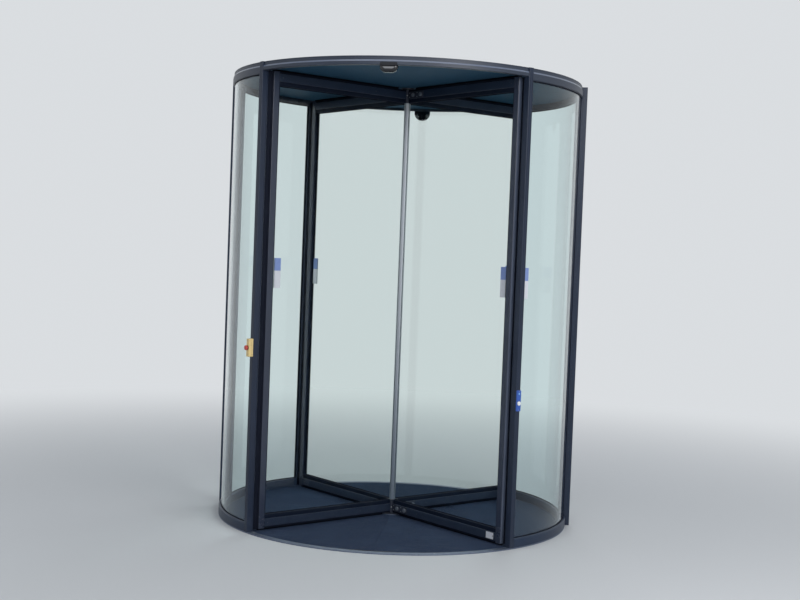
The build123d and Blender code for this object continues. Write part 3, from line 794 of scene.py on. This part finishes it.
def hubPiece(name, node, upside):
    # hub block with cut corners, four cheeks with two catches each, and the spindle; the upper is mirrored
    m, half, low = hubMake, rotor["hubHalf"], rotor["low"]
    k = half - m["chamfer"]
    block = [(-half, -k), (-k, -half), (k, -half), (half, -k), (half, k), (k, half), (-k, half), (-half, k)]
    block = rounded(block, m["round"], 3)
    s = Shell().skin(turned(bar(block, low, rotor["openLow"], m["ease"]), 45))
    start, end, thick = m["plateFrom"], m["plateTo"], m["plateThick"]
    cheek = thinSheet(end - start, 2 * m["plateHigh"], m["plateCorner"], thick, m["ease"])
    catch, face, facing = knob(), -rotor["half"] - thick, (0, -1, 0)
    for azimuth in corners.values():
        s.put(cheek, ((start + end) / 2, -rotor["half"], m["level"]), facing, azimuth)
        for place in m["knobs"]:
            s.put(catch, (place, face, m["level"]), facing, azimuth, 1)
        for place in m["screws"]:
            for rise in (-m["screwRise"], m["screwRise"]):
                s.put(screw("cheek"), (place, face, m["level"] + rise), facing, azimuth, 2)
    s.put(screw("hub"), (m["cornerOut"], 0, m["level"]), outward, quarters, 2)
    radius, foot = m["upperSpindle"] if upside else m["lowerSpindle"]
    s.skin(lathe([(radius, foot), (radius, low)], 48), 1)
    if upside:
        s.points = [p * (1, 1, -1) + (0, 0, low + rotor["high"]) for p in s.points]
    piece(name, s, ["hubEnamel", "catchMetal", "screwSteel"], "rotor", [node])


wing = dict(railHigh=0.078, boxHigh=0.054, beadHalf=0.015, beadWide=0.008, beadBevel=0.003, groove=0.0055,
            grooveDeep=0.012, seat=0.0033, seatDeep=0.005, joint=0.0006, overlap=0.0002, holderHigh=0.0105,
            holderHalf=0.0185, screws=(0.912, 0.258), screwRise=0.032, stileEase=0.0008, slotHalf=0.0043,
            slotDeep=0.006, stripEase=0.0028, stripGap=0.0050, stripProud=0.0004, stripEnd=0.0015,
            lip=(0.0032, 0.0040), lipFrom=0.0295)


def railSections():
    # across the wing and up: a painted box, a black glazing bead on it, a black brush holder under it whose
    # black also stands in for the shade under the rail (painted shade)
    w, t = wing, rotor["half"]
    high, box, holder, lap = w["railHigh"], w["boxHigh"], w["holderHigh"], w["overlap"]

    def mirrored(right, low=()):
        return softened([*right, *((-x, y, r) for x, y, r in right[::-1]), *low], 5)

    painted = mirrored([(t - 0.001, holder, 1), (t, holder + 0.002, 2), (t, box, 3)])
    bead = mirrored([(w["beadHalf"], box - lap, 0), (w["beadHalf"], high - 0.002, 0.6),
                     (w["beadHalf"] - w["beadBevel"], high, 0.6), (w["groove"], high, 0.3),
                     (w["groove"], high - w["grooveDeep"], 0)])
    under = mirrored([(w["seat"], 0, 0), (w["holderHalf"], 0, 1), (w["holderHalf"], holder + lap, 0)],
                     [(-w["seat"], w["seatDeep"], 0), (w["seat"], w["seatDeep"], 0)])
    return painted, bead, under


def stileSections():
    # along the wing and across it: a box with a seal slot outside, its glazing bead, and a bare strip beside
    # the seal in a much lighter paint, a painted highlight on the stile's end
    w, t, o = wing, rotor["half"], sealMake["offset"]
    a, b = rotor["stileIn"], rotor["stileOut"]
    deep, side, highlightStrip = b - w["slotDeep"], w["slotHalf"], b + w["stripProud"]
    box = [(a, -t, 3), (b, -t, 3), (b, o - side, 0), (deep, o - side, 0), (deep, o + side, 0),
           (b, o + side, 0), (b, t, 2.5), (a, t, 3)]
    g, h, inner, bevel = w["groove"], w["beadHalf"], a - w["beadWide"], w["beadBevel"]
    bead = [(inner + 0.002, -h, 0.6), (a, -h, 0), (a, h, 0), (inner + 0.002, h, 0.6), (inner, h - bevel, 0.6),
            (inner, g, 0), (a - 0.0005, g, 0), (a - 0.0005, -g, 0), (inner, -g, 0), (inner, bevel - h, 0.6)]
    edge, far = w["stripEase"] - t, o - w["stripGap"]
    cover = [(b - 0.001, edge, 0), (highlightStrip, edge, 0.3), (highlightStrip, far, 0.3), (b - 0.001, far, 0)]
    return softened(box, 6), softened(bead, 4), softened(cover, 3)


def wingPieces(name):
    # rail sections carried along the wing, the top ones mirrored, and stile sections carried upwards
    azimuth, node = corners[name], nodeNames[name]
    r, w = rotor, wing
    for end, level, rise in (("bottom", r["low"], 1), ("top", r["high"], -1)):
        s = Shell()
        for section, mark in zip(railSections(), (0, 2, 3)):
            rail = alongWing(bar(section, r["hubHalf"], r["stileIn"], w["joint"]))
            s.skin(turned(rail * (1, 1, rise) + (0, 0, level), azimuth), mark)
        for side in (1, -1):
            for place in w["screws"]:
                at = (place, side * r["half"], level + rise * w["screwRise"])
                s.put(screw("rail"), at, (0, side, 0), azimuth, 1)
        piece(f"{name}Wing{end.capitalize()}Rail", s, ["wingEnamel", "darkSteel", "beadBlack", "sealRubber"],
              "rotor", [f"{node}_wing_{end}_rail"])

    box, bead, cover = stileSections()
    s = Shell().skin(turned(bar(box, r["low"], r["high"], w["stileEase"]), azimuth))
    s.skin(turned(bar(bead, r["openLow"], r["openHigh"]), azimuth), 1)
    # painted highlight: the strip on the stile's end takes the much lighter paint
    s.skin(turned(bar(cover, r["low"] + w["stripEnd"], r["high"] - w["stripEnd"]), azimuth), 2)
    piece(name + "WingStile", s, ["stileEnamel", "beadBlack", "edgeEnamel"], "rotor",
          [node + "_wing_stile"])

    glass = nodes[node + "_wing_glass"].data.materials
    glass.clear()
    glass.append(bpy.data.materials["wingGlass"])

    # gasket lips along three sides of the pane, on both faces; the centre profile's slot holds the fourth
    s = Shell()
    bead = lip(*w["lip"])
    outer = r["stileIn"] - w["beadWide"]
    for side in (1, -1):
        for level, rise in ((r["openLow"], 1), (r["openHigh"], -1)):
            section = (bead + (r["glassHalf"], 0)) * (side, rise) + (0, level)
            s.skin(turned(alongWing(bar(section, w["lipFrom"], outer)), azimuth))
        plan = (bead[:, ::-1] + (0, r["glassHalf"])) * (-1, side) + (outer, 0)
        s.skin(turned(bar(plan, r["openLow"], r["openHigh"]), azimuth))
    piece(name + "WingGasket", s, ["sealRubber"], "rotor")


# the wall seal's profile is (distance from the stile, half width, rounding in millimetres)
sealMake = dict(offset=0.012, end=0.001,
                profile=[(-0.0056, 0.0038, 0), (0, 0.0038, 0), (0, 0.0062, 0.4), (0.0020, 0.0062, 0.8),
                         (0.0034, 0.0036, 0.8), (0.0080, 0.0030, 1.0), (0.0110, 0.0044, 1.0),
                         (0.0145, 0.0044, 1.0), (0.0170, 0.0028, 1.0), (0.0322, 0.0014, 0.9)])
brush = dict(start=0.077, end=0.970, pitch=0.0040, radius=0.0019, rows=(-0.0017, 0.0017), lean=0.0006,
             levels=((0.0175, 0.0062), (2.5645, 2.5779)))


def sealPieces():
    # wall seal: flange on the stile, thin neck, round bulb and a tapering lip
    half = np.array(sealMake["profile"]) + (rotor["stileOut"], 0, 0)
    plan = softened(np.concatenate([half, half[::-1] * (1, -1, 1)]) + (0, sealMake["offset"], 0), 4)
    s = Shell()
    for azimuth in corners.values():
        s.skin(turned(bar(plan, rotor["low"] + sealMake["end"], rotor["high"] - sealMake["end"]), azimuth))
    piece("wallSeals", s, ["sealRubber"], "rotor", ["wing_seals"])

    # bristle tufts: five-sided, from the rail's groove to the tip, each leaning a little
    b = brush
    places = np.arange(b["start"], b["end"], b["pitch"])
    around = np.linspace(0, 2 * np.pi, 5, endpoint=False)
    tuft = b["radius"] * np.stack([np.cos(around), np.sin(around), 0 * around], 1)
    s = Shell()
    for azimuth in corners.values():
        for root, tip in b["levels"]:
            for row in b["rows"]:
                lean = rng.uniform(-b["lean"], b["lean"], (len(places), 2))
                low = np.stack([places, 0 * places + row, 0 * places + root], 1)
                high = np.stack([places + lean[:, 0], row + lean[:, 1], 0 * places + tip], 1)
                s.copies(turned(np.stack([low, high], 1)[:, :, None] + tuft, azimuth))
    piece("brushTufts", s, ["bristle"], "rotor")


# fittings
sensors = dict(frontSensor=dict(node="front_sensor", side=-1, wide=0.098, drop=0.038, corner=0.033,
                                back=1.013, front=1.0455, lap=0.014),
               backSensor=dict(node="back_sensor", side=1, wide=0.106, drop=0.064, corner=0.049,
                               back=1.013, front=1.039, lap=0.0))
sensorMake = dict(belly=0.45, dome=0.50, top=0.55, backInsets=(0.003, 0.001, 0), backSteps=(0, 0.001, 0.003),
                  plateFoot=1.0433, plateIn=0.006, plateUnder=0.003, plateCorner=0.007, plateEase=0.0009,
                  eye=(0.42, 0.30, 0.149), eyeDown=0.55, eyeThick=0.0008, eyeEase=0.0005, eyeProud=0.0003)


def capOutline(width, drop, corner, inset, steps=16):
    # a cap hanging from the rim: straight top, sides and two large round lower corners, moved in by inset
    w, b, r = width / 2 - inset, drop - inset, max(corner - inset, 0.002)
    a = np.linspace(0, np.pi / 2, steps)
    right = np.stack([w - r + r * np.cos(a), -b + r - r * np.sin(a)], 1)
    left = right[::-1] * (-1, 1)
    return np.concatenate([[(w, 0)], right, left, [(-w, 0)]])


def sensorPiece(name):
    # a pebble-shaped cap: rings from the flat back to the rim of the belly, then in over the domed front
    k, m, middle = sensors[name], sensorMake, drum["canopyLow"]
    wide, drop, back, front, side = k["wide"], k["drop"], k["back"], k["front"], k["side"]
    full = (front - back) * m["belly"]
    t = np.linspace(0, np.pi / 2, 14)[1:]
    insets = [*m["backInsets"], *(drop * m["dome"] * (1 - np.cos(t)))]
    reach = [*(back + step for step in m["backSteps"]), *(back + full + (front - back - full) * np.sin(t))]
    rings = []
    for y, inset in zip(reach, insets):
        x, z = capOutline(wide, drop, k["corner"], inset).T
        rings.append(np.stack([x, side * y + 0 * x, middle + np.minimum(z, -m["top"] * inset)], 1))
    s = Shell().skin(np.stack(rings))
    if k["lap"]:
        # the plate that laps up over the rim's face
        lap, under, foot = k["lap"], m["plateUnder"], m["plateFoot"]
        sheet = thinSheet(wide - m["plateIn"], lap + under, m["plateCorner"], front - foot, m["plateEase"])
        s.put(sheet, (0, side * foot, middle + (lap - under) / 2), (0, side, 0), mark=2)
    across, high, corner = m["eye"]
    eye = thinSheet(wide * across, drop * high, drop * corner, m["eyeThick"], m["eyeEase"])
    s.put(eye, (0, side * (back + m["eyeProud"]), middle - drop * m["eyeDown"]), (0, -side, 0), mark=1)
    piece(name, s, ["sensorShell", "sensorWindow", "sensorPlate"], "drum", [k["node"]], 50)


stop = dict(low=-0.010, high=0.016, level=1.034, tall=0.100, corner=0.004, face=0.028, backThick=0.0090,
            backEase=0.0006, jointIn=0.0020, jointTop=0.0110, frontFrom=0.0100, frontEase=0.0025,
            screwRise=0.038, screwSunk=0.0001,
            collar=[(0.0115, 0), (0.0115, 0.0014), (0.0105, 0.0022), (0.0095, 0.0022)],
            stem=[(0.0090, 0.0), (0.0090, 0.0068), (0.013, 0.0080), (0.014, 0.0092)],
            dome=(0.010, 0.004, 0.0115, 0.0038), crown=[(0.006, 0.0158), (0.002, 0.0160)])


def stopPiece():
    # case of two halves with a dark joint, and a mushroom button: collar, stem, domed cap
    k, azimuth = stop, corners["frontLeft"]
    y, wide, out = (k["low"] + k["high"]) / 2, k["high"] - k["low"], drum["outer"]
    s = Shell()

    def lay(shape, height, mark=0, rise=0.0):
        s.put(shape, (out + height, y, k["level"] + rise), outward, azimuth, mark)

    inner, corner = k["jointIn"], k["corner"]
    lay(thinSheet(wide, k["tall"], corner, k["backThick"], k["backEase"]), 0)
    lay(thinSheet(wide - inner, k["tall"] - inner, corner - inner / 2, k["jointTop"]), 0, 2)
    lay(thinSheet(wide, k["tall"], corner, k["face"] - k["frontFrom"], k["frontEase"]), k["frontFrom"])
    lay(lathe(k["collar"], 48), k["face"], 2)
    a = np.linspace(0, np.pi / 2, 8)
    radius, roundOut, level, roundUp = k["dome"]
    dome = np.stack([radius + roundOut * np.cos(a), level + roundUp * np.sin(a)], 1)
    lay(lathe(np.concatenate([k["stem"], dome, k["crown"]]), 48), k["face"], 1)
    for rise in (-k["screwRise"], k["screwRise"]):
        lay(screw("stop"), k["face"] - k["screwSunk"], 3, rise)
    piece("emergencyStop", s, ["stopCream", "stopRed", "sealRubber", "screwSteel"], "drum",
          ["emergency_stop"])


plate = dict(wide=0.030, tall=0.114, corner=0.005, thick=0.008, ease=0.0018, level=0.813, buttonDown=0.014,
             spotLevel=0.851, screwRise=0.050, sunk=0.0001,
             bezel=[(0.0128, 0), (0.0128, 0.0008), (0.0120, 0.0014), (0.0112, 0.0014), (0.0112, 0.0004)],
             push=[(0.0108, 0), (0.0108, 0.0030), (0.0100, 0.0037), (0.0085, 0.0040), (0.0040, 0.0036),
                   (0.0015, 0.0035)],
             spot=[(0.0052, 0), (0.0052, 0.0010), (0.0040, 0.0017), (0.0015, 0.0020)])


def platePiece():
    # thin plate with a round push button in a bezel, a light spot and two screws
    k, azimuth = plate, corners["frontRight"]
    out = drum["outer"] + k["thick"]
    button = k["level"] - k["buttonDown"]
    s = Shell()
    s.put(thinSheet(k["wide"], k["tall"], k["corner"], k["thick"], k["ease"]), (drum["outer"], 0, k["level"]),
          outward, azimuth)
    s.put(lathe(k["bezel"], 48), (out - k["sunk"], 0, button), outward, azimuth, 1)
    s.put(lathe(k["push"], 48), (out, 0, button), outward, azimuth, 2)
    s.put(lathe(k["spot"], 32), (out, 0, k["spotLevel"]), outward, azimuth, 3)
    for rise in (-k["screwRise"], k["screwRise"]):
        s.put(screw("plate"), (out - k["sunk"], 0, k["level"] + rise), outward, azimuth, 1)
    piece("accessPlate", s, ["plateBlue", "screwSteel", "buttonWhite", "plateSpot"], "drum",
          ["access_plate"])


labels = dict(wide=0.040, tall=0.168, middle=1.450, edge=0.915, thick=0.0003, off=0.0001, corner=0.002,
              blueShare=0.42, wallWide=0.034, wallPlace=-42.9, railWide=0.058, railTall=0.036,
              railCorner=0.0015, railPlace=0.888, railLevel=0.0485)


def labelPieces():
    # bare two-colour stickers on the wings' glass and beside the right post, and a bare rail label
    k = labels
    blue = k["tall"] * k["blueShare"]
    halves = ((blue, k["middle"] + (k["tall"] - blue) / 2, 1), (k["tall"] - blue, k["middle"] - blue / 2, 0))
    place, finishes = k["edge"] - k["wide"] / 2, ["labelWhite", "labelBlue"]
    s = Shell()
    for azimuth in corners.values():
        for tall, middle, mark in halves:
            tile = thinSheet(k["wide"], tall, k["corner"], k["thick"])
            for side in (1, -1):
                face = side * (rotor["glassHalf"] + k["off"])
                s.put(tile, (place, face, middle), (0, side, 0), azimuth, mark)
    tile = thinSheet(k["railWide"], k["railTall"], k["railCorner"], k["thick"])
    s.put(tile, (k["railPlace"], -rotor["half"], k["railLevel"]), (0, -1, 0), corners["frontRight"])
    piece("wingStickers", s, finishes, "rotor")

    s = Shell()
    for tall, middle, mark in halves:
        tile = thinSheet(k["wallWide"], tall, k["corner"], k["thick"])
        s.put(tile, (drum["glassOut"] - k["off"], 0, middle), outward, k["wallPlace"], mark)
    piece("wallSticker", s, finishes, "drum")


floorPieces()
print("floor pieces made")
for name, azimuth in corners.items():
    node, way = nodeNames[name] + "_post", walls[name][1]
    postPiece(name + "Post", node, azimuth, drum["postHalf"], drum["outer"], [way])
    wallPieces(name)
for side, azimuth in (("right", 0), ("left", 180)):
    node = side + "_facade_post"
    postPiece(side + "FacadePost", node, azimuth, drum["facadeHalf"], drum["facadeReach"], [-1, 1])
canopyPieces()
print("drum made")
centrePiece()
hubPiece("lowerHub", "hub_bottom", False)
hubPiece("upperHub", "hub_top", True)
for name in corners:
    wingPieces(name)
sealPieces()
print("rotor made")
for name in sensors:
    sensorPiece(name)
stopPiece()
platePiece()
labelPieces()
print("fittings made")

# studio; each lamp has its place, aim, size, power and tone
studio = dict(floorTone=(0.60, 0.61, 0.625), backTone=(0.70, 0.725, 0.75), softTone=(0.86, 0.93, 1.0),
              ambient=0.36, fadeFrom=1.6, fadeTo=7.0, size=40.0, down=0.0004)
lamps = dict(keyRight=((3.8, -5.6, 3.2), (0, 0, 1.1), (2.4, 2.4), 145, (1.0, 0.985, 0.97)),
             frontSky=((0.0, -9.0, 4.3), (0, 0, 1.2), (4.0, 2.4), 130, (0.90, 0.94, 1.0)),
             stripLeft=((-3.4, -2.2, 1.9), (0, 0, 1.3), (0.4, 3.0), 6, (0.90, 0.95, 1.0)),
             stripRight=((3.4, -3.0, 1.9), (0, 0, 1.3), (0.3, 3.0), 14, (0.90, 0.95, 1.0)),
             backLight=((1.2, 4.4, 5.6), (0, 0, 1.0), (2.4, 2.0), 85, (0.93, 0.96, 1.0)),
             topLight=((0.0, -0.6, 5.2), (0, 0, 0), (3.4, 3.4), 55, (1.0, 1.0, 1.0)))


def seesBackdrop(p):
    # 1 for the rays that show the backdrop: from the camera, through glass and off gloss
    rays = p.node("LightPath").socket.node.outputs
    kinds = ("Camera", "Transmission", "Glossy")
    camera, through, gloss = (Wire(p, rays[f"Is {kind} Ray"]) for kind in kinds)
    return p.node("Math", {"operation": "MINIMUM"}, {0: camera + through + gloss, 1: 1.0})


def studioFloor():
    # pale floor that keeps the door's shadow and fades into the backdrop's tone far out
    size, low = studio["size"], -studio["down"]
    mesh = bpy.data.meshes.new("studioFloor")
    square = [(-size, -size, low), (size, -size, low), (size, size, low), (-size, size, low)]
    mesh.from_pydata(square, [], [(0, 1, 2, 3)])
    p = Paint("studioFloor")
    x, y, z = p.axes()
    far = ((x * x + y * y) ** 0.5).between(studio["fadeFrom"], studio["fadeTo"])
    matt = p.node("BsdfPrincipled", None, {"Base Color": studio["floorTone"], "Roughness": 0.75,
                                           "Specular IOR Level": 0.2})
    glow = p.node("Emission", None, {"Color": studio["backTone"], "Strength": 1.0})
    p.mixed(seesBackdrop(p) * far, matt, glow)
    mesh.materials.append(p.material)
    floor = bpy.data.objects.new("studioFloor", mesh)
    bpy.context.scene.collection.objects.link(floor)


def studioWorld():
    # soft light for the object, the backdrop's tone for the rays that show it
    world = bpy.data.worlds.new("studio")
    bpy.context.scene.world = world
    world.use_nodes = True
    p = Paint("studio", world.node_tree)
    soft = p.node("Background", None, {"Color": studio["softTone"], "Strength": studio["ambient"]})
    back = p.node("Background", None, {"Color": studio["backTone"], "Strength": 1.0})
    p.mixed(seesBackdrop(p), soft, back, "World")


def aimed(thing, place, target):
    # a lamp or camera at its place, looking at the target
    bpy.context.scene.collection.objects.link(thing)
    thing.location = place
    thing.rotation_mode = "QUATERNION"
    thing.rotation_quaternion = (Vector(target) - Vector(place)).to_track_quat("-Z", "Y")
    return thing


def softBox(name, place, target, size, power, tone):
    # oblong lamp that is not seen itself, neither straight nor through glass
    light = bpy.data.lights.new(name, "AREA")
    light.shape, light.size, light.size_y, light.energy, light.color = "RECTANGLE", *size, power, tone
    lamp = aimed(bpy.data.objects.new(name, light), place, target)
    lamp.visible_camera = False
    lamp.visible_transmission = False


studioFloor()
studioWorld()
for name, values in lamps.items():
    softBox(name, *values)
print("studio lit")

# camera: where the photograph was taken, turned to the door with a longer lens
view = dict(place=(0.771, -7.526, 1.580), target=(0.0, 0.0, 1.305), roll=2.22, lens=56.25, sensor=36.0)
lens = bpy.data.cameras.new("camera")
lens.lens, lens.sensor_width = view["lens"], view["sensor"]
camera = aimed(bpy.data.objects.new("camera", lens), view["place"], view["target"])
roll = Quaternion((0, 0, 1), math.radians(view["roll"]))
camera.rotation_quaternion = camera.rotation_quaternion @ roll
scene = bpy.context.scene
scene.camera = camera
scene.view_settings.view_transform = "Standard"
scene.cycles.transparent_max_bounces = 24
scene.cycles.transmission_bounces = 16
scene.cycles.max_bounces = 18
